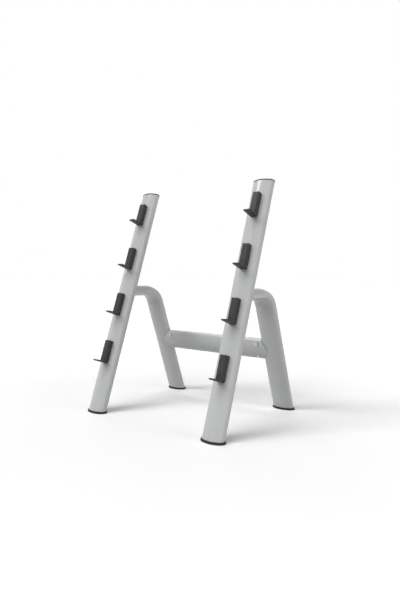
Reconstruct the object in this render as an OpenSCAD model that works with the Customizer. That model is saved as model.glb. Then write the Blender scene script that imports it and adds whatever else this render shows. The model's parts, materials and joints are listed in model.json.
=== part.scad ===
// Storage rack for fixed barbells: two leaning side frames of oval tube, one crossbar
// and four pairs of black bar holders. Millimetres, +Z up, the front faces -Y.
// The origin is on the floor, halfway between the feet and between the side frames.

/* [Tube] */
// Long side of the oval tube, laid across the rack
tube_w = 120; // [112:1:140]
// Short side of the oval tube
tube_t = 60; // [54:1:70]
// Radius of the tube's two narrow edges
tube_edge_r = 20; // [17:0.5:24]
// Wall of the frame tubes
tube_wall = 3; // [2:0.5:4]

/* [Side frames] */
// Between the middle planes of the two side frames
frame_spacing = 785; // [600:5:1000]
// On the floor, from the upright's axis to the rear leg's axis
foot_spacing = 690; // [640:5:800]
// Lean of the uprights from vertical, in degrees
upright_lean = 20; // [17:0.5:22]
// Lean of the rear legs from vertical, in degrees
leg_lean = 20; // [17:0.5:22]
// Along an upright's axis, from the floor to the top of its cap
upright_len = 1312; // [1290:1:1500]
// Height of the rear leg's level run, on its axis
run_h = 657; // [600:1:690]
// Bend radius of the rear leg, on its axis
bend_r = 100; // [90:1:130]
// Root gap at each welded joint
weld_gap = 0.3; // [0.1:0.1:0.9]

/* [Crossbar] */
// Height of the crossbar's axis
crossbar_h = 350; // [250:1:450]
// Slit between the crossbar's coped ends and the rear legs
cope_gap = 3; // [1:0.5:4]
// Reach of a socket sleeve past the rear leg's inner edge
socket_len = 75; // [60:1:120]
// Wall of the socket sleeves
socket_wall = 4; // [3:0.5:5]
// Clearance between a socket sleeve and the crossbar round it
socket_clear = 0.5; // [0.2:0.1:0.9]

/* [Crossbar bolts] */
// From the rear leg's inner edge to the bolts
bolt_inset = 23; // [20:1:40]
// Between the two bolts at one end, across the crossbar's face
bolt_spread = 74; // [60:1:80]
// Diameter of a bolt
bolt_d = 10; // [8:1:12]
// Length of a bolt below its head
bolt_len = 25; // [22:1:35]
// Bolt head and nut, across flats
bolt_hex = 17; // [16:0.5:19]
// Height of a bolt head
bolt_head_h = 6.4; // [5:0.1:8]
// Height of a weld nut
nut_h = 8.4; // [6:0.1:9]
// Diameter of a washer
washer_d = 21; // [20:0.5:24]
// Thickness of a washer
washer_t = 2; // [1.5:0.1:3]
// How much wider than the bolt its holes are
bolt_clear = 1; // [0.6:0.1:1.4]

/* [Holders] */
// Along an upright's axis, from the floor to the lowest holder
holder_start = 267; // [200:1:300]
// From one holder to the next
holder_pitch = 278; // [200:1:290]
// Width of a holder
holder_w = 40; // [36:1:50]
// Height of a holder's block
holder_h = 127; // [112:1:150]
// From the tube's front to the block's front face
holder_t = 27; // [20:1:32]
// From the tube's front to the tip of the lip
lip_reach = 78; // [60:1:90]
// Thickness of the lip
lip_t = 7.5; // [7:0.5:10]
// Radius of the block's front edges
holder_edge_r = 7; // [4:0.5:9]
// Radius between the block's face and the lip
cradle_r = 4; // [2:0.5:4]
// Radius of the small outer corners
holder_corner_r = 3; // [1.5:0.5:3]
// Clearance between a holder and the tube behind it
holder_clear = 0.2; // [0.1:0.1:0.5]

/* [Holder cores] */
// Thickness of the flat bar inside a holder
core_t = 5; // [4:0.5:5]
// Inside radius of the core's bend
core_bend_r = 4; // [3:0.5:5]
// Cover between the core's back and the tube's front
core_back = 1.4; // [1.2:0.1:2]
// Cover beside the core and over its two ends
core_side = 3; // [2:0.5:5]

/* [Holder screws] */
// From the holder's underside to its lower screw
screw_low = 19.5; // [16:0.5:22]
// Between the two screws of one holder
screw_spacing = 71; // [60:0.5:80]
// Diameter of a screw
screw_d = 6; // [5:0.5:6]
// Length of a screw below its head
screw_len = 35; // [32:1:40]
// Diameter of a screw head
screw_head_d = 10.5; // [9:0.1:11]
// Height of a screw head
screw_head_h = 3.3; // [2.5:0.1:4]
// Depth of the recess that holds a screw head
recess_depth = 4.5; // [4:0.1:6]
// Outside diameter of a threaded insert
insert_d = 9; // [8.5:0.1:10]
// Length of a threaded insert below its flange
insert_len = 14; // [10:0.5:18]
// Diameter of an insert's flange
insert_flange_d = 12; // [11.5:0.1:13]
// Thickness of an insert's flange
insert_flange_t = 0.8; // [0.5:0.1:1]

/* [Feet] */
// Height of a foot pad
pad_h = 11; // [9:0.5:16]
// Rubber under the end of the tube
pad_floor = 5; // [3:0.5:6]
// How far a foot pad stands out from the tube at the floor
pad_lip = 7; // [5:0.5:12]
// How much of that is lost at the pad's top edge
pad_draft = 2.5; // [0.5:0.5:3]
// Clearance between a foot pad and the tube wall
pad_fit = 0.3; // [0.1:0.1:0.6]

/* [Top caps] */
// Thickness of a top cap's flange
cap_t = 3; // [2:0.5:6]
// Bevel round the top of the flange
cap_bevel = 1; // [0.5:0.1:1.5]
// Length of the plug below the flange
cap_plug_len = 15; // [10:1:25]
// Wall of the plug
cap_wall = 2.5; // [2:0.5:4]
// Clearance between the plug's fins and the tube
cap_fit = 0.1; // [0.05:0.05:0.3]

/* [Hidden] */
SIDES = [["left", -1], ["right", 1]];
LEVELS = [1:4];
$fn = 96;

paint = [0.73, 0.74, 0.73];
black_rubber = [0.07, 0.07, 0.075];
black_moulding = [0.15, 0.15, 0.155];
black_steel = [0.2, 0.2, 0.2];
black_plastic = [0.12, 0.12, 0.125];
zinc = [0.8, 0.81, 0.83];

// Thread and shank clearance that is left on the radius, so that no two pieces overlap
thread_gap = 0.05;
// How far a tool that cuts through runs past the far side
cut_over = 2;
// How much wider than the screw its hole through the holder and core is
screw_clear = 1;
// How much wider than the screw head its recess is
recess_clear = 1;
// How much wider than the insert's flange the pocket behind the holder is
flange_clear = 0.6;
// Between an insert's collar and the inside of the tube's wall
collar_gap = 0.3;
// Height of one fin on the top cap's plug
fin_t = 1.2;
// How far the fins stand out from the plug
fin_out = 1;
fin_count = 3;
// Distance from the oval's middle to the centre of each narrow edge arc
tube_edge_x = tube_w / 2 - tube_edge_r;
// Radius of the oval's two broad faces, tangent to the edge arcs
tube_face_r = face_radius(tube_w, tube_t, tube_edge_r);
// Distance from the oval's middle to the centre of each face arc
tube_face_c = tube_face_r - tube_t / 2;

frame_x = frame_spacing / 2;
foot_y = foot_spacing / 2;
bend_turn = 90 - leg_lean;
bend_tangent = bend_r * tan(bend_turn / 2);
run_start_y = -foot_y + run_h * tan(upright_lean);
run_end_y = foot_y - run_h * tan(leg_lean) - bend_tangent;
leg_top = run_h / cos(leg_lean) - bend_tangent;

socket_outer = tube_wall + socket_clear;
socket_inner = socket_outer + socket_wall;
bolt_x = frame_x - tube_w / 2 - bolt_inset;
bolt_tilt = asin(bolt_spread / 2 / tube_face_r);

core_skin = (lip_t - core_t) / 2;
core_w = holder_w - 2 * core_side;
pad_w = tube_w + 2 * pad_lip;
pad_edge_r = tube_edge_r + pad_lip;

// Oval section

// The face arc's radius that is tangent to edge arcs of radius e on a w by t oval.
function face_radius(w, t, e) =
    (pow(w / 2 - e, 2) + pow(t / 2, 2) - e * e) / (t - 2 * e);

// Between the lines through the edge centres and the face arc's centre, one side of the oval.
module face_sector(edge_x, face_c, reach, s) {
    flare = edge_x / face_c;
    lap = reach / 8;
    near = edge_x - flare * lap;
    far = edge_x + flare * reach;
    polygon([[-near, -s * lap], [near, -s * lap], [far, s * reach], [-far, s * reach]]);
}

// A w by t oval of four tangent arcs, its outline moved out by grow.
module oval(w, t, e, grow) {
    edge_x = w / 2 - e;
    face_r = face_radius(w, t, e);
    face_c = face_r - t / 2;
    for (s = [-1, 1]) {
        intersection() {
            translate([0, -s * face_c]) circle(r = face_r + grow);
            face_sector(edge_x, face_c, t, s);
        }
        translate([s * edge_x, 0]) circle(r = e + grow);
    }
}

// The same oval as a solid of height h, its outline moved out by g0 below and g1 above.
module oval_taper(w, t, e, h, g0, g1) {
    edge_x = w / 2 - e;
    face_r = face_radius(w, t, e);
    face_c = face_r - t / 2;
    for (s = [-1, 1]) {
        intersection() {
            translate([0, -s * face_c, 0]) cylinder(h = h, r1 = face_r + g0, r2 = face_r + g1);
            linear_extrude(h) face_sector(edge_x, face_c, t, s);
        }
        translate([s * edge_x, 0, 0]) cylinder(h = h, r1 = e + g0, r2 = e + g1);
    }
}

module tube_section(grow = 0) {
    oval(tube_w, tube_t, tube_edge_r, grow);
}

// A straight bar of the tube's section along Z, from z0 to z1.
module bar(z0, z1, grow = 0) {
    translate([0, 0, z0]) linear_extrude(z1 - z0) tube_section(grow);
}

// Places

module at_upright(side) {
    translate([side * frame_x, -foot_y, 0]) rotate([-upright_lean, 0, 0]) children();
}

module at_leg(side) {
    translate([side * frame_x, foot_y, 0]) rotate([leg_lean, 0, 0]) children();
}

// Crossbar frame: X along the bar, Z up the rear legs, -Y out of the bar's front face.
module at_crossbar() {
    translate([0, foot_y - crossbar_h * tan(leg_lean), crossbar_h]) rotate([leg_lean, 0, 0]) children();
}

// Turned so that the tube's section runs along the crossbar.
module crossbar_bar(x0, x1, grow = 0) {
    translate([x0, 0, 0]) rotate([0, 90, 0]) linear_extrude(x1 - x0) tube_section(grow);
}

// Both bolt places at one end, Z pointing out, z = 0 on the crossbar's surface.
module at_bolts(side) {
    for (s = [-1, 1])
        translate([side * bolt_x, tube_face_c, 0])
            rotate([s * bolt_tilt, 0, 0])
                translate([0, -tube_face_r, 0])
                    rotate([90, 0, 0]) children();
}

// Holder frame: the origin is on the tube's front, under the holder; -Y points out.
module at_holder(side, level) {
    at_upright(side)
        translate([0, -tube_t / 2, holder_start + (level - 1) * holder_pitch]) children();
}

// Both screw places of one holder, Z pointing out of the tube.
module at_screws() {
    for (v = [screw_low, screw_low + screw_spacing])
        translate([0, 0, v]) rotate([90, 0, 0]) children();
}

// Everything below height h.
module ground(h) {
    translate([-frame_spacing, -foot_spacing, -tube_w])
        cube([2 * frame_spacing, 2 * foot_spacing, tube_w + h]);
}

// Side frames

module upright(side) {
    color(paint)
        difference() {
            at_upright(side)
                difference() {
                    bar(-tube_w / 2, upright_len - cap_t);
                    bar(-tube_w, upright_len, -tube_wall);
                }
            ground(pad_floor);
            for (level = LEVELS)
                at_holder(side, level)
                    at_screws()
                        translate([0, 0, -tube_t / 2])
                            cylinder(h = tube_t, r = insert_d / 2 + thread_gap);
        }
}

// The tube's section turned for the rear leg's bend: X points out of the bend.
module bend_section(grow) {
    rotate(90) tube_section(grow);
}

// Level run, bend and straight of a rear leg, as one solid of the tube's section.
module leg_path(side, grow) {
    straight = leg_top + tube_w / 2;
    translate([side * frame_x, run_end_y, run_h - bend_r])
        rotate([0, -90, 0]) {
            translate([bend_r, 0, 0])
                rotate([90, 0, 0]) linear_extrude(run_end_y - run_start_y) bend_section(grow);
            rotate_extrude(angle = bend_turn)
                translate([bend_r, 0]) bend_section(grow);
            rotate(bend_turn)
                translate([bend_r, 0, 0])
                    rotate([90, 0, 0])
                        translate([0, 0, -straight])
                            linear_extrude(straight) bend_section(grow);
        }
}

module rear_leg(side) {
    color(paint)
        difference() {
            leg_path(side, 0);
            leg_path(side, -tube_wall);
            at_upright(side) bar(0, upright_len, weld_gap);
            ground(pad_floor);
        }
}

module top_cap(side) {
    fin_pitch = cap_plug_len / (fin_count + 0.5);
    plug_in = -tube_wall - cap_fit - fin_out;
    color(black_plastic)
        at_upright(side)
            translate([0, 0, upright_len - cap_t]) {
                bar(0, cap_t - cap_bevel);
                translate([0, 0, cap_t - cap_bevel])
                    oval_taper(tube_w, tube_t, tube_edge_r, cap_bevel, 0, -cap_bevel);
                difference() {
                    union() {
                        bar(-cap_plug_len, 0, plug_in);
                        for (fin = [1:fin_count])
                            translate([0, 0, -fin * fin_pitch])
                                bar(0, fin_t, plug_in + fin_out);
                    }
                    bar(-cap_plug_len - cut_over, 0, plug_in - cap_wall);
                }
            }
}

// Foot pads

// A tapered oval cup, its middle at y, with a slot for the wall of the leaning tube.
module foot_pad(side, y, lean) {
    depth = tube_t / cos(lean) + 2 * pad_lip;
    color(black_rubber)
        difference() {
            translate([side * frame_x, y, 0])
                oval_taper(pad_w, depth, pad_edge_r, pad_h, 0, -pad_draft);
            difference() {
                children();
                ground(pad_floor);
            }
        }
}

module tube_wall_slot() {
    difference() {
        bar(-tube_t, tube_t, pad_fit);
        bar(-tube_t - cut_over, tube_t + cut_over, -tube_wall - pad_fit);
    }
}

module front_foot(side) {
    foot_pad(side, -foot_y + pad_h / 2 * tan(upright_lean), upright_lean)
        at_upright(side) tube_wall_slot();
}

module rear_foot(side) {
    foot_pad(side, foot_y - pad_h / 2 * tan(leg_lean), leg_lean)
        at_leg(side) tube_wall_slot();
}

// Crossbar and its fixings

module crossbar() {
    color(paint)
        difference() {
            at_crossbar()
                difference() {
                    crossbar_bar(-frame_x, frame_x);
                    crossbar_bar(-frame_x - cut_over, frame_x + cut_over, -tube_wall);
                }
            for (side = [-1, 1]) {
                at_leg(side) bar(0, leg_top, cope_gap);
                at_crossbar() at_bolts(side) bolt_hole();
            }
        }
}

module bolt_hole() {
    translate([0, 0, -socket_inner - cut_over])
        cylinder(h = socket_inner + 2 * cut_over, d = bolt_d + bolt_clear);
}

module crossbar_socket(side) {
    outer_end = side * frame_x;
    inner_end = side * (frame_x - tube_w / 2 - socket_len);
    x0 = min(outer_end, inner_end);
    x1 = max(outer_end, inner_end);
    color(black_steel)
        difference() {
            at_crossbar()
                difference() {
                    crossbar_bar(x0, x1, -socket_outer);
                    crossbar_bar(x0 - cut_over, x1 + cut_over, -socket_inner);
                    at_bolts(side) bolt_hole();
                }
            at_leg(side) bar(0, leg_top, weld_gap);
        }
}

module hexagon(across_flats, h) {
    cylinder(h = h, d = across_flats / cos(30), $fn = 6);
}

module crossbar_bolts(side) {
    head_bevel = bolt_hex / 12;
    color(zinc)
        at_crossbar() at_bolts(side) {
            translate([0, 0, washer_t - bolt_len]) cylinder(h = bolt_len, d = bolt_d);
            translate([0, 0, washer_t])
                intersection() {
                    hexagon(bolt_hex, bolt_head_h);
                    union() {
                        cylinder(h = bolt_head_h - head_bevel, d = 1.2 * bolt_hex);
                        translate([0, 0, bolt_head_h - head_bevel])
                            cylinder(h = head_bevel, d1 = 1.2 * bolt_hex, d2 = 0.95 * bolt_hex);
                    }
                }
        }
}

// Saddle washers, hollowed below to sit on the crossbar's curved face.
module crossbar_washers(side) {
    color(zinc)
        at_crossbar() at_bolts(side)
            difference() {
                translate([0, 0, -washer_t / 2]) cylinder(h = 1.5 * washer_t, d = washer_d);
                translate([0, 0, -washer_t]) cylinder(h = 3 * washer_t, d = bolt_d + bolt_clear / 2);
                translate([0, 0, -tube_face_r])
                    rotate([0, 90, 0])
                        cylinder(h = 2 * washer_d, r = tube_face_r, center = true, $fn = 360);
            }
}

// Nuts welded inside a socket, their seats curved to its wall.
module crossbar_nuts(side) {
    color(zinc)
        at_crossbar()
            intersection() {
                at_bolts(side)
                    translate([0, 0, -socket_inner - nut_h])
                        difference() {
                            hexagon(bolt_hex, nut_h + cut_over);
                            translate([0, 0, -cut_over])
                                cylinder(h = nut_h + 3 * cut_over, r = bolt_d / 2 + thread_gap);
                        }
                crossbar_bar(-frame_x, frame_x, -socket_inner);
            }
}

// Bar holders

// A shape drawn as outward distance and height, made into a solid width wide.
module across(width) {
    rotate([90, 0, -90]) linear_extrude(width, center = true) children();
}

// A rectangle with four round corners, standing on the X axis.
module round_box(w, h, r) {
    translate([-w / 2 + r, 0]) square([w - 2 * r, h]);
    translate([-w / 2, r]) square([w, h - 2 * r]);
    for (x = [-1, 1], y = [r, h - r])
        translate([x * (w / 2 - r), y]) circle(r = r);
}

// The holder from the side: block, thin lip with a round tip, and the fillet between.
module holder_side() {
    behind = tube_t / 4;
    translate([-behind, 0]) square([behind + holder_t, holder_h - cradle_r]);
    translate([-behind, 0]) square([behind + holder_t - cradle_r, holder_h]);
    translate([holder_t - cradle_r, holder_h - cradle_r]) circle(r = cradle_r);
    square([lip_reach - lip_t / 2, lip_t]);
    translate([lip_reach - lip_t / 2, lip_t / 2]) circle(d = lip_t);
    translate([holder_t, lip_t])
        difference() {
            translate([-1, -1]) square(cradle_r + 1);
            translate([cradle_r, cradle_r]) circle(r = cradle_r);
        }
}

// Half of a plan: the front of a block with round front edges, from the tube outward.
module holder_plan(reach, r) {
    translate([0, -reach]) round_box(holder_w, reach + tube_t / 4 + r, r);
}

// The fillet above the lip, carried round one of the block's front edges.
module cradle_corner(s) {
    foot_r = holder_edge_r + cradle_r;
    translate([s * (holder_w / 2 - holder_edge_r), holder_edge_r - holder_t, 0])
        rotate_extrude()
            difference() {
                square([foot_r, lip_t + cradle_r]);
                translate([foot_r, lip_t + cradle_r]) circle(r = cradle_r);
            }
}

module holder_blank() {
    intersection() {
        across(holder_w) holder_side();
        union() {
            linear_extrude(holder_h) holder_plan(holder_t, holder_edge_r);
            linear_extrude(lip_t) holder_plan(lip_reach, holder_edge_r);
            across(holder_w - 2 * holder_edge_r) square([holder_t + cradle_r, lip_t + cradle_r]);
            for (s = [-1, 1]) cradle_corner(s);
        }
        rotate([90, 0, 0])
            linear_extrude(3 * lip_reach, center = true)
                round_box(holder_w, holder_h, holder_corner_r);
    }
}

// The core from the side: a flat bar bent once, up the tube and out along the lip.
module core_side_view() {
    corner = core_bend_r + core_t;
    translate([core_back, core_skin + corner])
        square([core_t, holder_h - core_side - core_skin - corner]);
    translate([core_back + corner, core_skin])
        square([lip_reach - core_side - core_back - corner, core_t]);
    translate([core_back + corner, core_skin + corner])
        intersection() {
            difference() {
                circle(r = corner);
                circle(r = core_bend_r);
            }
            translate([-corner, -corner]) square(corner);
        }
}

module core_blank() {
    across(core_w) core_side_view();
}

module holder(side, level) {
    color(black_moulding)
        difference() {
            at_holder(side, level)
                difference() {
                    holder_blank();
                    core_blank();
                    at_screws() {
                        cylinder(h = 2 * holder_t, d = screw_d + screw_clear, center = true);
                        translate([0, 0, holder_t - recess_depth])
                            cylinder(h = 2 * recess_depth, d = screw_head_d + recess_clear);
                        translate([0, 0, -core_back])
                            cylinder(h = 2 * core_back, d = insert_flange_d + flange_clear);
                    }
                }
            at_upright(side) bar(0, upright_len, holder_clear);
        }
}

module holder_core(side, level) {
    color(black_steel)
        at_holder(side, level)
            difference() {
                core_blank();
                at_screws() cylinder(h = 4 * core_t, d = screw_d + screw_clear, center = true);
            }
}

// One screw, Z out of the tube: button head with a hexagon socket.
module screw() {
    rim = screw_head_h * 0.4;
    seat = holder_t - recess_depth;
    translate([0, 0, seat - screw_len]) cylinder(h = screw_len, d = screw_d);
    translate([0, 0, seat])
        difference() {
            union() {
                cylinder(h = rim, d = screw_head_d);
                translate([0, 0, rim])
                    cylinder(h = screw_head_h - rim, d1 = screw_head_d, d2 = 0.6 * screw_head_d);
            }
            translate([0, 0, 0.45 * screw_head_h]) hexagon(0.35 * screw_head_d, screw_head_h);
        }
}

module holder_screws(side) {
    color(black_steel)
        for (level = LEVELS) at_holder(side, level) at_screws() screw();
}

// One threaded insert, Z out of the tube: thin flange, sleeve and the collar set inside.
module insert_blank() {
    collar_top = -tube_wall - collar_gap;
    collar_h = insert_len / 5;
    difference() {
        union() {
            translate([0, 0, -insert_len]) cylinder(h = insert_len + insert_flange_t, d = insert_d);
            translate([0, 0, collar_top - collar_h])
                cylinder(h = collar_h, d = 0.95 * insert_flange_d);
            children();
        }
        translate([0, 0, -insert_len - cut_over])
            cylinder(h = insert_len + 2 * cut_over, r = screw_d / 2 + thread_gap);
    }
}

// An insert's flange, its underside curved to the tube's front.
module insert_flange() {
    difference() {
        translate([0, 0, -insert_flange_t])
            cylinder(h = 2 * insert_flange_t, d = insert_flange_d);
        rotate([-90, 0, 0])
            translate([0, tube_t / 2, 0]) bar(-tube_w, tube_w);
    }
}

module holder_inserts(side) {
    color(zinc)
        for (level = LEVELS) at_holder(side, level) at_screws() insert_blank() insert_flange();
}

// Assembly

for (s = SIDES) {
    upright(s[1]);
    rear_leg(s[1]);
    top_cap(s[1]);
    front_foot(s[1]);
    rear_foot(s[1]);
    crossbar_socket(s[1]);
    crossbar_bolts(s[1]);
    crossbar_washers(s[1]);
    crossbar_nuts(s[1]);
    holder_screws(s[1]);
    holder_inserts(s[1]);
    for (level = LEVELS) {
        holder(s[1], level);
        holder_core(s[1], level);
    }
}
crossbar();
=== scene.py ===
"""Barbell storage rack: the looks around its CAD frame, laid out as a Blender add-on."""

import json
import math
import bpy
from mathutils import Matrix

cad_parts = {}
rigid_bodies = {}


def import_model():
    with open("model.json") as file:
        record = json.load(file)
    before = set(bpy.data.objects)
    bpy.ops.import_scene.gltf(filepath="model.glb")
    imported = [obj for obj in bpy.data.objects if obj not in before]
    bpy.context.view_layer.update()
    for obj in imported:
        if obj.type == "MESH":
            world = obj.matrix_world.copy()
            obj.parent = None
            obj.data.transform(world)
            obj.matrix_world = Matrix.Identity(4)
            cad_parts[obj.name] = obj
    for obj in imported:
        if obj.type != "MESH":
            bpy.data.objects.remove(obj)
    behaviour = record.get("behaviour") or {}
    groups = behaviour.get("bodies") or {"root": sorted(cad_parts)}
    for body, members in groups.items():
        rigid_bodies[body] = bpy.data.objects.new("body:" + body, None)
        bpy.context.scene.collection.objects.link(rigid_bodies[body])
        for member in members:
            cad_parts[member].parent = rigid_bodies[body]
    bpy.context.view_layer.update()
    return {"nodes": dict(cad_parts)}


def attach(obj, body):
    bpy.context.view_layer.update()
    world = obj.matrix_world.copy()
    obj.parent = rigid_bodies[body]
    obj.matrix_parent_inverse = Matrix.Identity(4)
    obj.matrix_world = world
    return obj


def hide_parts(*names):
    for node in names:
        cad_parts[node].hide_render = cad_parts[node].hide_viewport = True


bl_info = {
    "name": "Barbell storage rack",
    "version": (1, 0, 0),
    "blender": (4, 5, 0),
    "location": "View3D > Sidebar > Rack",
    "description": "Paint, mouldings, fixings, weld beads and stage for the barbell rack",
    "category": "Object",
}

import bmesh
import bpy
from mathutils import Matrix, Vector

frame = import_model()

MM = 0.001
SIDES = (("left", -1), ("right", 1))
LEVELS = (1, 2, 3, 4)
LEAN = math.radians(20)

# The tube and the places on it repeat the named sizes of part.scad, in metres.
TUBE_W, TUBE_T, TUBE_EDGE_R, TUBE_WALL = 0.120, 0.060, 0.020, 0.003
FRAME_X, FOOT_Y = 0.3925, 0.345
UPRIGHT_LEN, CAP_T, CAP_PLUG = 1.312, 0.003, 0.015
RUN_H = 0.657
CROSSBAR_H, BOLT_X, BOLT_SPREAD = 0.350, 0.3095, 0.074
HOLDER_START, HOLDER_PITCH = 0.267, 0.278
SCREW_HEIGHTS = (0.0195, 0.0905)
SCREW_SEAT = 0.0225
PAD_H, PAD_FLOOR, PAD_LIP, PAD_DRAFT, PAD_FIT = 0.011, 0.005, 0.007, 0.0025, 0.0003

# How far the weld's line stands off the upright, and its ripple's depth as a share of its radius
BEAD_LIFT, RIPPLE_DEPTH = 0.0004, 0.22
# Turns a head that is made lying on the floor so that it faces the front
FACE_OUT = Matrix.Rotation(math.pi / 2, 4, "X")


# ---- Shapes

def face_radius(width, thickness, edge_r):
    """The broad face's arc, tangent to both edge arcs."""
    return ((width / 2 - edge_r) ** 2 + (thickness / 2) ** 2 - edge_r**2) / (thickness - 2 * edge_r)


TUBE_FACE_R = face_radius(TUBE_W, TUBE_T, TUBE_EDGE_R)
TUBE_FACE_C = TUBE_FACE_R - TUBE_T / 2


def oval(width, thickness, edge_r, grow=0.0, face_steps=28, edge_steps=14):
    """Points of the four-arc oval, anticlockwise from the right end of the lower face."""
    edge_x = width / 2 - edge_r
    face_r = face_radius(width, thickness, edge_r)
    face_c = face_r - thickness / 2
    half = math.atan2(edge_x, face_c)
    points = []

    def arc(cx, cy, radius, start, stop, steps):
        for i in range(steps):
            a = start + (stop - start) * i / steps
            points.append((cx + radius * math.sin(a), cy - radius * math.cos(a)))

    arc(0, face_c, face_r + grow, -half, half, face_steps)
    arc(edge_x, 0, edge_r + grow, half, math.pi - half, edge_steps)
    arc(0, -face_c, face_r + grow, math.pi - half, math.pi + half, face_steps)
    arc(-edge_x, 0, edge_r + grow, math.pi + half, 2 * math.pi - half, edge_steps)
    return points


def tube_oval(grow=0.0):
    return oval(TUBE_W, TUBE_T, TUBE_EDGE_R, grow)


def circle(radius, steps=48):
    return [(radius * math.cos(a), radius * math.sin(a))
            for a in (2 * math.pi * i / steps for i in range(steps))]


def hexagon(across_flats, steps=48):
    """A hexagon's outline with as many points as the circles have, its flats facing +X."""
    points = []
    for i in range(steps):
        a = 2 * math.pi * i / steps
        off = (a + math.pi / 6) % (math.pi / 3) - math.pi / 6
        radius = across_flats / 2 / math.cos(off)
        points.append((radius * math.cos(a), radius * math.sin(a)))
    return points


def at_height(points, z):
    return [(x, y, z) for x, y in points]


def add_loft(mesh, rings):
    """Skins a row of rings of equal length, given in order with the outside on the right."""
    rows = [[mesh.verts.new(p) for p in ring] for ring in rings]
    for lower, upper in zip(rows, rows[1:]):
        for i in range(len(lower)):
            j = (i + 1) % len(lower)
            mesh.faces.new((lower[i], lower[j], upper[j], upper[i]))
    mesh.faces.new(list(reversed(rows[0])))
    mesh.faces.new(rows[-1])


def finish_mesh(mesh, name, smooth_angle=35.0):
    """Turns mesh work into mesh data with outward faces, smooth but for its sharp edges."""
    bmesh.ops.remove_doubles(mesh, verts=mesh.verts, dist=1e-7)
    bmesh.ops.recalc_face_normals(mesh, faces=mesh.faces)
    limit = math.radians(smooth_angle)
    for face in mesh.faces:
        face.smooth = True
    for edge in mesh.edges:
        edge.smooth = len(edge.link_faces) == 2 and edge.calc_face_angle(0.0) < limit
    data = bpy.data.meshes.new(name)
    mesh.to_mesh(data)
    mesh.free()
    return data


def new_object(name, data):
    made = bpy.data.objects.new(name, data)
    bpy.context.scene.collection.objects.link(made)
    return made


def paint_nodes(material, names):
    """Gives CAD nodes their finish."""
    for name in names:
        materials = frame["nodes"][name].data.materials
        materials.clear()
        materials.append(material)


def dress(piece, nodes):
    """Makes a finished piece ride on the rack in place of its CAD nodes."""
    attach(piece, "root")
    if nodes:
        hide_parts(*nodes)


def lean_turn(lean):
    return Matrix.Rotation(lean, 4, "X")


def upright_place(side, along=0.0, out=0.0):
    """A place on an upright: along its axis from the floor, and out from the axis to the front."""
    base = Matrix.Translation((side * FRAME_X, -FOOT_Y, 0))
    return base @ lean_turn(-LEAN) @ Matrix.Translation((0, -out, along))


def crossbar_place():
    """The crossbar's middle, its thickness along Y and its width along Z, leaning with the legs."""
    middle = Matrix.Translation((0, FOOT_Y - CROSSBAR_H * math.tan(LEAN), CROSSBAR_H))
    return middle @ lean_turn(LEAN)


# ---- Node trees

class Nodes:
    """A node tree that is built node by node."""

    def __init__(self, tree):
        self.tree = tree
        self.nodes, self.links = tree.nodes, tree.links
        self.nodes.clear()

    def add(self, kind, values=None, **settings):
        """Adds a node; a value is a number for a socket or the socket that feeds it."""
        node = self.nodes.new(kind)
        for key, value in settings.items():
            setattr(node, key, value)
        for key, value in (values or {}).items():
            if isinstance(value, bpy.types.NodeSocket):
                self.links.new(value, node.inputs[key])
            else:
                node.inputs[key].default_value = value
        return node

    def math(self, operation, a, b=0.0):
        return self.add("ShaderNodeMath", {0: a, 1: b}, operation=operation).outputs[0]

    def seen(self):
        """1 for what is seen directly, in a reflection or through glass, 0 for what gives light."""
        path = self.add("ShaderNodeLightPath").outputs
        mirrored = self.math("MAXIMUM", path["Is Glossy Ray"], path["Is Transmission Ray"])
        return self.math("MAXIMUM", path["Is Camera Ray"], mirrored)


class Tree(Nodes):
    """A Geometry Nodes tree with named inputs."""

    def __init__(self, name, inputs):
        super().__init__(bpy.data.node_groups.new(name, "GeometryNodeTree"))
        face = self.tree.interface
        face.new_socket("Geometry", in_out="INPUT", socket_type="NodeSocketGeometry")
        self.ids = {}
        for label, kind in inputs:
            self.ids[label] = face.new_socket(label, in_out="INPUT", socket_type=kind).identifier
        face.new_socket("Geometry", in_out="OUTPUT", socket_type="NodeSocketGeometry")
        self.entry = self.add("NodeGroupInput")
        self.exit = self.add("NodeGroupOutput")

    def close(self, geometry):
        """Ends the tree with real geometry in the material that it is given."""
        real = self.add("GeometryNodeRealizeInstances", {"Geometry": geometry})
        done = self.add("GeometryNodeSetMaterial", {
            "Geometry": real.outputs[0], "Material": self.entry.outputs["Material"]})
        self.links.new(done.outputs[0], self.exit.inputs[0])

    def run(self, data, name, values):
        """Runs the tree on mesh data and returns the result as a plain mesh object."""
        carrier = new_object(name + "_points", data)
        modifier = carrier.modifiers.new("Build", "NODES")
        modifier.node_group = self.tree
        for label, value in values.items():
            modifier[self.ids[label]] = value
        graph = bpy.context.evaluated_depsgraph_get()
        made = bpy.data.meshes.new_from_object(carrier.evaluated_get(graph), depsgraph=graph)
        made.name = name
        bpy.data.objects.remove(carrier)
        return new_object(name, made)


def place_tree():
    """Puts a copy of one object at each point, turned by the point's own turn attribute."""
    tree = Tree("place_copies", (("Part", "NodeSocketObject"), ("Material", "NodeSocketMaterial")))
    part = tree.add("GeometryNodeObjectInfo", {"Object": tree.entry.outputs["Part"]},
                    transform_space="ORIGINAL")
    turn = tree.add("GeometryNodeInputNamedAttribute", {"Name": "turn"}, data_type="FLOAT_VECTOR")
    rotation = tree.add("FunctionNodeEulerToRotation", {"Euler": turn.outputs["Attribute"]})
    placed = tree.add("GeometryNodeInstanceOnPoints", {
        "Points": tree.entry.outputs["Geometry"], "Instance": part.outputs["Geometry"],
        "Rotation": rotation.outputs[0]})
    tree.close(placed.outputs[0])
    return tree


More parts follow.
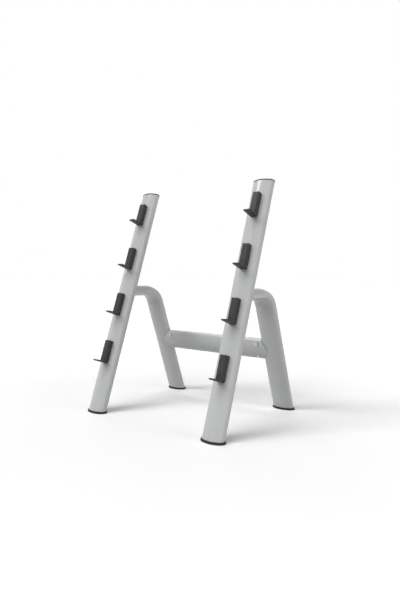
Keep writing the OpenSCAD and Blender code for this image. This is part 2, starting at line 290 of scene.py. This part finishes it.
def place_copies(name, part_data, places, material):
    """One mesh with a copy of part_data at each place, made by the place_copies tree."""
    points = bpy.data.meshes.new(name + "_points")
    points.from_pydata([tuple(m.translation) for m in places], [], [])
    turns = points.attributes.new("turn", "FLOAT_VECTOR", "POINT")
    for i, m in enumerate(places):
        turns.data[i].vector = m.to_euler("XYZ")
    part = new_object(name + "_part", part_data)
    made = place_tree().run(points, name, {"Part": part, "Material": material})
    bpy.data.objects.remove(part)
    return made


def bead_tree():
    """A weld bead along a closed line of edges, with a ripple at each puddle."""
    tree = Tree("weld_bead", (
        ("Bead radius", "NodeSocketFloat"), ("Ripple pitch", "NodeSocketFloat"),
        ("Ripple depth", "NodeSocketFloat"), ("Material", "NodeSocketMaterial")))
    given = tree.entry.outputs
    pitch = given["Ripple pitch"]
    line = tree.add("GeometryNodeMeshToCurve", {"Mesh": given["Geometry"]})
    spaced = tree.add("GeometryNodeResampleCurve", {
        "Curve": line.outputs[0], "Length": tree.math("DIVIDE", pitch, 6.0)}, mode="LENGTH")
    spot = tree.add("GeometryNodeSplineParameter")
    phase = tree.math("MULTIPLY", tree.math("DIVIDE", spot.outputs["Length"], pitch), math.pi)
    ripple = tree.math("ABSOLUTE", tree.math("SINE", phase))
    drift = tree.add("ShaderNodeTexNoise", {"Scale": 60.0, "Detail": 1.0}, noise_dimensions="3D")
    uneven = tree.math("MULTIPLY", tree.math("SUBTRACT", drift.outputs[0], 0.5), 0.35)
    wave = tree.math("MULTIPLY", tree.math("SUBTRACT", ripple, 0.6), given["Ripple depth"])
    size = tree.math("ADD", tree.math("ADD", 1.0, wave), uneven)
    radius = tree.math("MULTIPLY", size, given["Bead radius"])
    sized = tree.add("GeometryNodeSetCurveRadius", {"Curve": spaced.outputs[0], "Radius": radius})
    ring = tree.add("GeometryNodeCurvePrimitiveCircle", {"Resolution": 14, "Radius": 1.0})
    skin = tree.add("GeometryNodeCurveToMesh", {
        "Curve": sized.outputs[0], "Profile Curve": ring.outputs[0], "Scale": radius})
    smooth = tree.add("GeometryNodeSetShadeSmooth", {"Geometry": skin.outputs[0]})
    tree.close(smooth.outputs[0])
    return tree


# ---- Materials

class Finish(Nodes):
    """One procedural material on Object coordinates."""

    def __init__(self, name):
        self.material = bpy.data.materials.new(name)
        self.material.use_nodes = True
        super().__init__(self.material.node_tree)
        self.coords = self.add("ShaderNodeTexCoord").outputs["Object"]

    def noise(self, scale, detail=2.0, stretch=None, rough=0.5, turn=(0.0, 0.0, 0.0)):
        where = self.coords
        if stretch:
            where = self.add("ShaderNodeMapping", {
                "Vector": where, "Scale": stretch, "Rotation": turn}).outputs[0]
        return self.add("ShaderNodeTexNoise", {
            "Vector": where, "Scale": scale, "Detail": detail, "Roughness": rough}).outputs[0]

    def ramp(self, factor, stops):
        """Blends between (position, value) stops; a value is a grey or a colour."""
        node = self.add("ShaderNodeValToRGB", {"Fac": factor})
        elements = node.color_ramp.elements
        while len(elements) < len(stops):
            elements.new(0.5)
        for element, (position, value) in zip(elements, stops):
            element.position = position
            tint = (value,) * 3 if isinstance(value, float) else tuple(value)[:3]
            element.color = (*tint, 1.0)
        return node.outputs[0]

    def blend(self, factor, a, b):
        node = self.add("ShaderNodeMix", {0: factor, 6: a, 7: b}, data_type="RGBA")
        return node.outputs[2]

    def near_floor(self, low, high, most):
        """Falls from most at height low to 0 at height high."""
        height = self.add("ShaderNodeSeparateXYZ", {"Vector": self.coords}).outputs["Z"]
        return self.add("ShaderNodeMapRange", {
            "Value": height, "From Min": low, "From Max": high, "To Min": most,
            "To Max": 0.0}).outputs[0]

    def bump(self, height, depth, strength=1.0, below=None):
        values = {"Height": height, "Distance": depth, "Strength": strength}
        if below is not None:
            values["Normal"] = below
        return self.add("ShaderNodeBump", values).outputs[0]

    def surface(self, values, links):
        """Ends the material: values sit on the shader's own sockets, links come from nodes."""
        shader = self.add("ShaderNodeBsdfPrincipled", {**values, **links})
        out = self.add("ShaderNodeOutputMaterial", {"Surface": shader.outputs[0]})
        out.is_active_output = True
        return self.material


def shade(colour, factor):
    return tuple(min(1.0, c * factor) for c in tuple(colour)[:3])


def powder_coat(colour):
    """Glossy powder coat: fine orange peel, a little dust low down and faint rubbed streaks."""
    f = Finish("light_grey_powder_coat")
    cloud = f.noise(3.0, 3.0)
    speck = f.noise(900.0, 1.0)
    base = f.ramp(cloud, ((0.3, shade(colour, 0.975)), (0.7, shade(colour, 1.02))))
    base = f.blend(f.ramp(speck, ((0.62, 0.0), (0.72, 0.35))), base, (*shade(colour, 0.9), 1.0))
    spots = f.ramp(f.noise(38.0, 5.0, rough=0.65), ((0.4, 0.0), (0.75, 1.0)))
    dust = f.math("MULTIPLY", f.near_floor(0.012, 0.11, 0.5), spots)
    base = f.blend(dust, base, (*shade(colour, 0.8), 1.0))
    streak = f.ramp(f.noise(34.0, 3.0, stretch=(5.0, 5.0, 0.35)), ((0.66, 0.0), (0.78, 1.0)))
    peel = f.noise(300.0, 1.5)
    grit = f.noise(1500.0, 1.0)
    gloss = f.ramp(grit, ((0.35, 0.25), (0.65, 0.32)))
    gloss = f.math("ADD", gloss, f.math("MULTIPLY", streak, 0.05))
    gloss = f.math("ADD", gloss, f.math("MULTIPLY", dust, 0.3))
    normal = f.bump(grit, 0.000008, 1.0, f.bump(peel, 0.00005))
    return f.surface({"Metallic": 0.0, "IOR": 1.5},
                     {"Base Color": base, "Roughness": gloss, "Normal": normal})


def moulding(colour):
    """Black moulded holder: spark-eroded mould texture and faint flow marks, rubbed on its lip."""
    f = Finish("black_holder_moulding")
    flow = f.noise(26.0, 3.0, stretch=(1.0, 1.0, 0.4))
    base = f.ramp(flow, ((0.3, shade(colour, 0.86)), (0.72, shade(colour, 1.2))))
    grain = f.noise(1100.0, 2.0, rough=0.6)
    coarse = f.noise(420.0, 2.0)
    wear = f.noise(70.0, 5.0, rough=0.7, stretch=(2.5, 1.0, 1.0))
    rubbed = f.ramp(wear, ((0.6, 0.0), (0.8, 0.6)))
    base = f.blend(rubbed, base, (*shade(colour, 1.7), 1.0))
    gloss = f.ramp(grain, ((0.3, 0.46), (0.7, 0.6)))
    gloss = f.math("SUBTRACT", gloss, f.math("MULTIPLY", rubbed, 0.12))
    normal = f.bump(grain, 0.00006, 0.8, f.bump(coarse, 0.00008, 0.7))
    return f.surface({"Metallic": 0.0, "IOR": 1.5, "Specular IOR Level": 0.25},
                     {"Base Color": base, "Roughness": gloss, "Normal": normal})


def foot_rubber(colour):
    """Black foot rubber: matt, finely pitted, dusty at its lower edge."""
    f = Finish("black_foot_rubber")
    pits = f.noise(900.0, 3.0, rough=0.6)
    base = f.ramp(f.noise(60.0, 4.0), ((0.35, shade(colour, 0.8)), (0.7, shade(colour, 1.35))))
    dust = f.math("MULTIPLY", f.near_floor(0.0, 0.005, 0.3), f.noise(140.0, 3.0))
    base = f.blend(dust, base, (0.16, 0.155, 0.15, 1.0))
    gloss = f.ramp(pits, ((0.3, 0.62), (0.7, 0.8)))
    return f.surface({"Metallic": 0.0, "IOR": 1.48},
                     {"Base Color": base, "Roughness": gloss, "Normal": f.bump(pits, 0.00008)})


def cap_plastic(colour):
    """Black cap plastic with a fine satin texture."""
    f = Finish("black_cap_plastic")
    grain = f.noise(1300.0, 2.0)
    base = f.ramp(f.noise(45.0, 3.0), ((0.3, shade(colour, 0.92)), (0.7, shade(colour, 1.08))))
    gloss = f.ramp(grain, ((0.3, 0.55), (0.7, 0.68)))
    return f.surface({"Metallic": 0.0, "IOR": 1.5, "Specular IOR Level": 0.2},
                     {"Base Color": base, "Roughness": gloss, "Normal": f.bump(grain, 0.00003)})


def bright_zinc(colour):
    """Bright zinc plate: faint blue and straw patches over fine scratches."""
    f = Finish("zinc_plate")
    patch = f.noise(160.0, 3.0)
    straw = (colour[0], colour[1] * 0.97, colour[2] * 0.88)
    blue = (colour[0] * 0.93, colour[1] * 0.97, colour[2])
    base = f.ramp(patch, ((0.35, straw), (0.5, tuple(colour)[:3]), (0.68, blue)))
    scratch = f.noise(700.0, 2.0, stretch=(1.0, 6.0, 0.6), turn=(0.0, 0.4, 0.7))
    gloss = f.ramp(scratch, ((0.3, 0.14), (0.75, 0.28)))
    return f.surface({"Metallic": 1.0}, {
        "Base Color": base, "Roughness": gloss, "Normal": f.bump(scratch, 0.000012)})


def dark_steel(name, colour, low, high):
    """Bare or blackened steel with mill grain."""
    f = Finish(name)
    grain = f.noise(420.0, 3.0, stretch=(1.0, 1.0, 0.15))
    base = f.ramp(f.noise(90.0, 4.0), ((0.3, shade(colour, 0.8)), (0.7, shade(colour, 1.2))))
    gloss = f.ramp(grain, ((0.3, low), (0.7, high)))
    return f.surface({"Metallic": 0.9}, {
        "Base Color": base, "Roughness": gloss, "Normal": f.bump(grain, 0.00002)})


def floor_white(colour, bounce, near, far):
    """Studio floor: white with the rack's soft shadow to the eye, a darker bounce for light."""
    f = Finish("studio_floor")
    seen = f.seen()
    white = f.ramp(f.noise(0.8, 2.0), ((0.3, shade(colour, 0.995)), (0.7, shade(colour, 1.0))))
    base = f.blend(seen, (bounce, bounce, bounce, 1.0), white)
    matt = f.add("ShaderNodeBsdfDiffuse", {"Color": base})
    away = f.add("ShaderNodeVectorMath", {0: f.coords}, operation="LENGTH").outputs["Value"]
    fade = f.add("ShaderNodeMapRange", {
        "Value": away, "From Min": near[0], "From Max": far[0], "To Min": near[1],
        "To Max": far[1]}).outputs[0]
    glow = f.add("ShaderNodeEmission", {"Strength": f.math("MULTIPLY", seen, fade)})
    both = f.add("ShaderNodeAddShader", {0: matt.outputs[0], 1: glow.outputs[0]})
    f.add("ShaderNodeOutputMaterial", {"Surface": both.outputs[0]})
    return f.material


# ---- Settings

def size(label, text, value):
    return bpy.props.FloatProperty(name=label, description=text, default=value, min=0.0,
                                   precision=5, unit="LENGTH", subtype="DISTANCE")


def colour(label, text, value):
    return bpy.props.FloatVectorProperty(name=label, description=text, default=value, size=3,
                                         min=0.0, max=1.0, subtype="COLOR")


class RackColours(bpy.types.PropertyGroup):
    """Colours of the rack's finishes."""

    paint: colour("Powder coat", "Paint on the tubes and welds", (0.541, 0.555, 0.547))
    holder: colour("Holder", "Moulding of the bar holders", (0.045, 0.045, 0.047))
    rubber: colour("Foot rubber", "Rubber of the foot pads", (0.016, 0.016, 0.017))
    cap: colour("Cap", "Plastic of the top caps", (0.012, 0.012, 0.013))
    zinc: colour("Zinc", "Crossbar bolts and washers", (0.54, 0.545, 0.55))
    black: colour("Black steel", "Holder screws", (0.11, 0.11, 0.112))
    # Raw steel is also painted shade: its dark colour darkens the slit at the crossbar's ends,
    # where the sockets show.
    steel: colour("Raw steel", "Steel that stays hidden", (0.12, 0.12, 0.122))
    floor: colour("Floor", "Studio floor", (0.92, 0.92, 0.92))


class RackSizes(bpy.types.PropertyGroup):
    """Sizes of the details that are made here."""

    bead: size("Weld bead", "Radius of the weld bead round a rear leg's end", 0.0032)
    ripple: size("Weld ripple", "From one weld ripple to the next", 0.0028)
    rounding: size("Edge rounding", "Rounding of the moulded holders' edges", 0.0008)
    bolt_hex: size("Bolt head", "Bolt head across flats", 0.017)
    bolt_head: size("Bolt head height", "Height of a bolt head", 0.0064)
    washer: size("Washer", "Outside diameter of a washer", 0.021)
    washer_t: size("Washer thickness", "Thickness of a washer", 0.002)
    screw_head: size("Screw head", "Diameter of a holder screw's head", 0.0105)
    screw_key: size("Screw key", "Hexagon socket of a holder screw, across flats", 0.004)


# ---- Operators

def settings():
    scene = bpy.context.scene
    return scene.rack_colours, scene.rack_sizes


class RACK_OT_paint(bpy.types.Operator):
    """Puts the powder coat on the tubes."""

    bl_idname = "rack.paint"
    bl_label = "Paint the tubes"

    def execute(self, context):
        colours, _ = settings()
        paint = powder_coat(colours.paint)
        names = [f"{side}_{part}" for side, _ in SIDES for part in ("upright", "rear_leg")]
        paint_nodes(paint, [*names, "crossbar"])
        return {"FINISHED"}


class RACK_OT_hidden_steel(bpy.types.Operator):
    """Finishes the steel pieces inside the holders and the crossbar; the sockets' dark steel, seen
    through the slit at the crossbar's ends, is painted shade.
    """

    bl_idname = "rack.hidden_steel"
    bl_label = "Finish the hidden steel"

    def execute(self, context):
        colours, _ = settings()
        steel_with_slit_shade = dark_steel("mill_steel", colours.steel, 0.35, 0.55)
        zinc = bright_zinc(colours.zinc)
        for side, _ in SIDES:
            cores = [f"{side}_holder_core_{level}" for level in LEVELS]
            # Dark steel on the sockets is painted shade: it darkens the slit where they show at the
            # crossbar's ends.
            paint_nodes(steel_with_slit_shade, [f"{side}_crossbar_socket", *cores])
            paint_nodes(zinc, [f"{side}_crossbar_nuts", f"{side}_holder_inserts"])
        return {"FINISHED"}


class RACK_OT_weld_beads(bpy.types.Operator):
    """Runs a painted weld bead round the seam of each rear leg on its upright."""

    bl_idname = "rack.weld_beads"
    bl_label = "Weld the rear legs"

    def execute(self, context):
        _, sizes = settings()
        data = bpy.data.meshes.new("weld_lines")
        points, edges = [], []
        for _, side in SIDES:
            first = len(points)
            outline = tube_oval()
            for x, h in outline:
                z = RUN_H + h
                back = tube_half_thickness(x) / math.cos(LEAN)
                y = -FOOT_Y + z * math.tan(LEAN) + back + BEAD_LIFT
                points.append((side * FRAME_X + x, y, z))
            count = len(outline)
            edges += [(first + i, first + (i + 1) % count) for i in range(count)]
        data.from_pydata(points, edges, [])
        paint = bpy.data.materials["light_grey_powder_coat"]
        bead = bead_tree().run(data, "weld_beads", {
            "Bead radius": sizes.bead, "Ripple pitch": sizes.ripple,
            "Ripple depth": RIPPLE_DEPTH, "Material": paint})
        dress(bead, ())
        return {"FINISHED"}


def tube_half_thickness(x):
    """Half the tube's thickness at x from its middle."""
    edge_x = TUBE_W / 2 - TUBE_EDGE_R
    on_face = TUBE_FACE_R * edge_x / math.hypot(edge_x, TUBE_FACE_C)
    if abs(x) <= on_face:
        return math.sqrt(TUBE_FACE_R**2 - x**2) - TUBE_FACE_C
    return math.sqrt(max(0.0, TUBE_EDGE_R**2 - (abs(x) - edge_x) ** 2))


class RACK_OT_holders(bpy.types.Operator):
    """Rounds the moulded edges of the bar holders."""

    bl_idname = "rack.holders"
    bl_label = "Mould the holders"

    def execute(self, context):
        colours, sizes = settings()
        material = moulding(colours.holder)
        source = bmesh.new()
        source.from_mesh(frame["nodes"]["right_holder_1"].data)
        to_holder = upright_place(1, HOLDER_START, TUBE_T / 2).inverted()
        bmesh.ops.transform(source, matrix=to_holder, verts=source.verts)
        part = rounded_copy(source, "holder_part", sizes.rounding)
        places = [upright_place(side, HOLDER_START + (level - 1) * HOLDER_PITCH, TUBE_T / 2)
                  for _, side in SIDES for level in LEVELS]
        piece = place_copies("bar_holders", part, places, material)
        weigh = piece.modifiers.new("Flat faces", "WEIGHTED_NORMAL")
        weigh.keep_sharp = True
        names = [f"{side}_holder_{level}" for side, _ in SIDES for level in LEVELS]
        dress(piece, names)
        return {"FINISHED"}


def rounded_copy(source, name, rounding):
    """A closed copy of a CAD shape, every edge rounded off and its flat faces kept whole."""
    bmesh.ops.remove_doubles(source, verts=source.verts, dist=2e-6)
    data = bpy.data.meshes.new(name + "_cad")
    source.to_mesh(data)
    source.free()
    model = new_object(name + "_model", data)
    skin = model.modifiers.new("Skin", "REMESH")
    skin.mode = "VOXEL"
    skin.voxel_size = rounding
    ease = model.modifiers.new("Ease", "SMOOTH")
    ease.factor = 0.5
    ease.iterations = 3
    graph = bpy.context.evaluated_depsgraph_get()
    skinned = bpy.data.meshes.new_from_object(model.evaluated_get(graph), depsgraph=graph)
    bpy.data.objects.remove(model)
    mesh = bmesh.new()
    mesh.from_mesh(skinned)
    bmesh.ops.dissolve_limit(mesh, angle_limit=math.radians(1.2), verts=mesh.verts,
                             edges=mesh.edges)
    return finish_mesh(mesh, name, 60.0)


def button_head(diameter, key, height=0.0033):
    """A button-head screw: short rim, domed crown and a hexagon socket."""
    rim, rim_height, chamfer, socket_depth, steps = diameter / 2, 0.0009, 0.0003, 0.0018, 6
    crown = 0.62 * rim
    rings = [at_height(circle(rim - chamfer), 0.0), at_height(circle(rim), chamfer),
             at_height(circle(rim), rim_height)]
    for i in range(1, steps + 1):
        a = math.pi / 2 * i / steps
        rings.append(at_height(circle(crown + (rim - crown) * math.cos(a)),
                               rim_height + (height - rim_height) * math.sin(a)))
    rings += [at_height(circle(key * 0.62), height),
              at_height(hexagon(key), height - chamfer),
              at_height(hexagon(key), height - socket_depth),
              at_height(circle(key * 0.12), height - socket_depth - 0.0005)]
    mesh = bmesh.new()
    add_loft(mesh, rings)
    return finish_mesh(mesh, "button_head", 30.0)


class RACK_OT_holder_screws(bpy.types.Operator):
    """Sets a button-head screw in each recess of the holders."""

    bl_idname = "rack.holder_screws"
    bl_label = "Fit the holder screws"

    def execute(self, context):
        colours, sizes = settings()
        head = button_head(sizes.screw_head, sizes.screw_key)
        places = []
        for _, side in SIDES:
            for level in LEVELS:
                for i, height in enumerate(SCREW_HEIGHTS):
                    along = HOLDER_START + (level - 1) * HOLDER_PITCH + height
                    seat = upright_place(side, along, TUBE_T / 2 + SCREW_SEAT)
                    spin = Matrix.Rotation(math.radians(17 * level + 31 * i), 4, "Z")
                    places.append(seat @ FACE_OUT @ spin)
        piece = place_copies("holder_screw_heads", head, places,
                             dark_steel("black_oxide_steel", colours.black, 0.3, 0.45))
        dress(piece, [f"{side}_holder_screws" for side, _ in SIDES])
        return {"FINISHED"}


def hex_bolt(across, height, washer_d, washer_t):
    """A hexagon bolt head with a turned crown on a washer that is let into the tube's curve."""
    outline = hexagon(across)
    top = washer_t + height
    crown = 0.47 * across
    slope = math.tan(math.radians(28))

    def chamfered(points):
        return [(x, y, top - max(0.0, math.hypot(x, y) - crown) * slope) for x, y in points]

    def inset(points, by):
        shares = [1 - by / math.hypot(x, y) for x, y in points]
        return [(x * share, y * share) for (x, y), share in zip(points, shares)]

    mesh = bmesh.new()
    # The head from the washer up: eased lower edge, flats, turned chamfer, crown, dished middle
    add_loft(mesh, [at_height(inset(outline, 0.0006), washer_t),
                    at_height(inset(outline, 0.0002), washer_t + 0.0003),
                    at_height(outline, washer_t + 0.0007),
                    chamfered(outline),
                    chamfered(inset(outline, 0.0003)),
                    at_height(circle(crown), top),
                    at_height(circle(crown * 0.93), top),
                    at_height(circle(crown * 0.86), top - 0.00025)])
    # Heights and radii up the washer, which is let in as deep as the tube's face curves away
    sunk = washer_d**2 / 8 / TUBE_FACE_R + 0.0002
    r = washer_d / 2
    washer = [(-sunk, r - 0.0003), (-sunk + 0.0003, r), (washer_t - 0.0005, r),
              (washer_t - 0.00015, r - 0.00015), (washer_t, r - 0.0005)]
    add_loft(mesh, [at_height(circle(radius), z) for z, radius in washer])
    return finish_mesh(mesh, "hex_bolt", 30.0)


class RACK_OT_crossbar_bolts(bpy.types.Operator):
    """Bolts the crossbar to its sockets, on washers that follow the tube."""

    bl_idname = "rack.crossbar_bolts"
    bl_label = "Bolt the crossbar"

    def execute(self, context):
        _, sizes = settings()
        head = hex_bolt(sizes.bolt_hex, sizes.bolt_head, sizes.washer, sizes.washer_t)
        tilt = math.asin(BOLT_SPREAD / 2 / TUBE_FACE_R)
        places = []
        for _, side in SIDES:
            face_middle = crossbar_place() @ Matrix.Translation((side * BOLT_X, TUBE_FACE_C, 0))
            to_face = Matrix.Translation((0, -TUBE_FACE_R, 0))
            for s in (-1, 1):
                spin = Matrix.Rotation(math.radians(13 + 22 * s * side), 4, "Z")
                places.append(face_middle @ Matrix.Rotation(s * tilt, 4, "X") @ to_face
                              @ FACE_OUT @ spin)
        piece = place_copies("crossbar_bolt_heads", head, places, bpy.data.materials["zinc_plate"])
        dress(piece,
              [f"{side}_crossbar_{part}" for side, _ in SIDES for part in ("bolts", "washers")])
        return {"FINISHED"}


class RACK_OT_foot_pads(bpy.types.Operator):
    """Moulds the rubber pads under the four tube ends."""

    bl_idname = "rack.foot_pads"
    bl_label = "Mould the foot pads"

    def execute(self, context):
        colours, _ = settings()
        width = TUBE_W + 2 * PAD_LIP
        depth = TUBE_T / math.cos(LEAN) + 2 * PAD_LIP
        edge_r = TUBE_EDGE_R + PAD_LIP

        def outer(z, inward):
            grow = -PAD_DRAFT * z / PAD_H - inward
            return at_height(oval(width, depth, edge_r, grow), z)

        def pocket(z):
            points = tube_oval(PAD_FIT)
            shift = (z - PAD_H / 2) * math.tan(LEAN)
            return [(x, y / math.cos(LEAN) + shift, z) for x, y in points]

        # Height and how far the edge is rounded in, in mm
        profile = [(0.0, 1.0), (0.25, 0.35), (0.8, 0.05), (1.5, 0.0), (4.0, 0.0), (7.0, 0.0),
                   (9.4, 0.0), (10.2, 0.2), (10.75, 0.65), (11.0, 1.4)]
        rings = [outer(z * MM, inward * MM) for z, inward in profile]
        rings += [pocket(PAD_H), pocket(PAD_H - 0.001), pocket(PAD_FLOOR)]
        mesh = bmesh.new()
        add_loft(mesh, rings)
        pad = finish_mesh(mesh, "foot_pad", 50.0)
        offset = FOOT_Y - PAD_H / 2 * math.tan(LEAN)
        places = []
        for _, side in SIDES:
            places.append(Matrix.Translation((side * FRAME_X, -offset, 0)))
            half_turn = Matrix.Rotation(math.pi, 4, "Z")
            places.append(Matrix.Translation((side * FRAME_X, offset, 0)) @ half_turn)
        piece = place_copies("foot_pads", pad, places, foot_rubber(colours.rubber))
        names = [f"{side}_{end}_foot" for side, _ in SIDES for end in ("front", "rear")]
        dress(piece, names)
        return {"FINISHED"}


class RACK_OT_top_caps(bpy.types.Operator):
    """Presses a domed cap with a thin lip and a finned plug into the top of each upright."""

    bl_idname = "rack.top_caps"
    bl_label = "Fit the top caps"

    def execute(self, context):
        colours, _ = settings()
        # Height over the tube's end and distance out from its face, in mm: the plug's inside,
        # its outside with three fins, the lip round the tube's end, the domed top
        low = -CAP_PLUG / MM
        inside, plug, fin_edge = (-TUBE_WALL / MM - gap for gap in (3.6, 1.3, 0.3))
        profile = [(0.0, inside), (low, inside), (low, plug - 0.4), (low + 0.4, plug)]
        for fin in (3, 2, 1):
            z = low * fin / 3.5
            profile += [(z, plug), (z, fin_edge), (z + 1.2, fin_edge), (z + 1.2, plug)]
        profile += [(0.0, plug), (0.0, 0.12), (-2.6, 0.12), (-2.8, 0.25), (-2.8, 0.5), (-2.5, 0.7),
                    (2.2, 0.7), (2.35, 0.5), (2.5, 0.2), (2.7, -0.4), (2.8, -2.2), (2.88, -6.0),
                    (2.92, -11.0), (2.96, -16.0), (3.0, -19.0)]
        rings = [at_height(tube_oval(grow * MM), z * MM) for z, grow in profile]
        mesh = bmesh.new()
        add_loft(mesh, rings)
        cap = finish_mesh(mesh, "top_cap", 50.0)
        places = [upright_place(side, UPRIGHT_LEN - CAP_T) for _, side in SIDES]
        piece = place_copies("top_caps", cap, places, cap_plastic(colours.cap))
        dress(piece, [f"{side}_top_cap" for side, _ in SIDES])
        return {"FINISHED"}


# ---- Stage

# Name, place, point it faces, width, height, power
STRIPS = (("strip_softbox", (-1.46, -1.11, 3.69), (0.2, 0.0, 0.7), 0.34, 1.2, 58.0),
          ("rear_strip", (-1.65, 1.13, 2.7), (0.0, 0.2, 0.35), 0.25, 2.4, 20.0))
# Name, degrees to the left of the front, degrees above the floor, strength, spread
SUNS = (("key_light", 37.0, 38.0, 0.45, 24.0), ("high_front_light", 14.0, 62.0, 0.27, 26.0),
        ("front_right_light", -20.0, 40.0, 0.11, 24.0), ("right_fill", -93.0, 12.0, 0.37, 30.0),
        ("top_fill", 120.0, 78.0, 0.15, 18.0), ("rear_left_light", 120.0, 30.0, 0.10, 30.0))

# Half the floor's width, the share of light that it throws back, and two pairs of a distance
# from the rack's middle and the floor's own glow there
FLOOR_HALF, FLOOR_BOUNCE, FLOOR_NEAR, FLOOR_FAR = 30.0, 0.64, (0.35, 0.13), (1.6, 0.25)
# Fitted to the photograph: place, degrees down from level, degrees of turn, and the focal
# length in picture heights
CAMERA_PLACE, CAMERA_DOWN, CAMERA_TURN = (1.6562, -2.1094, 0.7784), 3.48, 37.15
CAMERA_REACH, CAMERA_SENSOR = 486.7 / 600.0, 36.0


def add_lamp(name, lamp, facing):
    """Places a lamp's data, turned to face along a direction."""
    made = new_object(name, lamp)
    made.rotation_mode = "QUATERNION"
    made.rotation_quaternion = facing.to_track_quat("-Z", "Y")
    return made


def add_strip(name, place, aim, width, height, power):
    """A strip softbox that only shows as a highlight."""
    lamp = bpy.data.lights.new(name, "AREA")
    lamp.shape = "RECTANGLE"
    lamp.size, lamp.size_y, lamp.energy = width, height, power
    made = add_lamp(name, lamp, Vector(aim) - Vector(place))
    made.location = place
    made.visible_diffuse = False


def add_sun(name, around, height, strength, spread):
    """A very distant softbox; strength 1 lights a white surface that faces it up to white."""
    lamp = bpy.data.lights.new(name, "SUN")
    lamp.energy, lamp.angle = strength * math.pi, math.radians(spread)
    across, up = math.radians(around), math.radians(height)
    level = math.cos(up)
    source = Vector((-math.sin(across) * level, -math.cos(across) * level, math.sin(up)))
    add_lamp(name, lamp, -source).visible_glossy = False


def white_world():
    """A world that is white to the eye and in reflections and gives no light of its own."""
    world = bpy.data.worlds.new("studio")
    world.use_nodes = True
    w = Nodes(world.node_tree)
    light = w.add("ShaderNodeBackground", {"Color": (1.0, 1.0, 1.0, 1.0), "Strength": w.seen()})
    w.add("ShaderNodeOutputWorld", {"Surface": light.outputs[0]})
    return world


class RACK_OT_stage(bpy.types.Operator):
    """Sets the floor, the studio light and the camera."""

    bl_idname = "rack.stage"
    bl_label = "Set the stage"

    def execute(self, context):
        colours, _ = settings()
        mesh = bmesh.new()
        corners = ((-1, -1), (1, -1), (1, 1), (-1, 1))
        mesh.faces.new([mesh.verts.new((x * FLOOR_HALF, y * FLOOR_HALF, 0.0)) for x, y in corners])
        floor = new_object("studio_floor", finish_mesh(mesh, "studio_floor"))
        floor.data.materials.append(
            floor_white(colours.floor, FLOOR_BOUNCE, FLOOR_NEAR, FLOOR_FAR))

        for sun in SUNS:
            add_sun(*sun)
        for strip in STRIPS:
            add_strip(*strip)

        lens = bpy.data.cameras.new("photo_camera")
        lens.sensor_width = CAMERA_SENSOR
        lens.lens = CAMERA_REACH * CAMERA_SENSOR
        lens.clip_end = 200.0
        camera = new_object("photo_camera", lens)
        camera.location = CAMERA_PLACE
        camera.rotation_euler = (math.radians(90 - CAMERA_DOWN), 0.0, math.radians(CAMERA_TURN))
        scene = context.scene
        scene.camera = camera
        scene.world = white_world()
        scene.view_settings.view_transform = "Standard"
        return {"FINISHED"}


# ---- Add-on

OPERATORS = (RACK_OT_paint, RACK_OT_hidden_steel, RACK_OT_weld_beads, RACK_OT_holders,
             RACK_OT_holder_screws, RACK_OT_crossbar_bolts, RACK_OT_foot_pads, RACK_OT_top_caps,
             RACK_OT_stage)


class RACK_PT_panel(bpy.types.Panel):
    """Lists the rack's settings and its steps in order."""

    bl_label = "Barbell rack"
    bl_idname = "RACK_PT_panel"
    bl_space_type = "VIEW_3D"
    bl_region_type = "UI"
    bl_category = "Rack"

    def draw(self, context):
        for group in settings():
            column = self.layout.column(align=True)
            for key in type(group).__annotations__:
                column.prop(group, key)
        steps = self.layout.column(align=True)
        for operator in OPERATORS:
            steps.operator(operator.bl_idname)


CLASSES = (RackColours, RackSizes, *OPERATORS, RACK_PT_panel)


def register():
    for cls in CLASSES:
        bpy.utils.register_class(cls)
    bpy.types.Scene.rack_colours = bpy.props.PointerProperty(type=RackColours)
    bpy.types.Scene.rack_sizes = bpy.props.PointerProperty(type=RackSizes)


def unregister():
    del bpy.types.Scene.rack_sizes
    del bpy.types.Scene.rack_colours
    for cls in reversed(CLASSES):
        bpy.utils.unregister_class(cls)


def main():
    register()
    for operator in OPERATORS:
        group, name = operator.bl_idname.split(".")
        getattr(getattr(bpy.ops, group), name)()


if __name__ == "__main__":
    main()
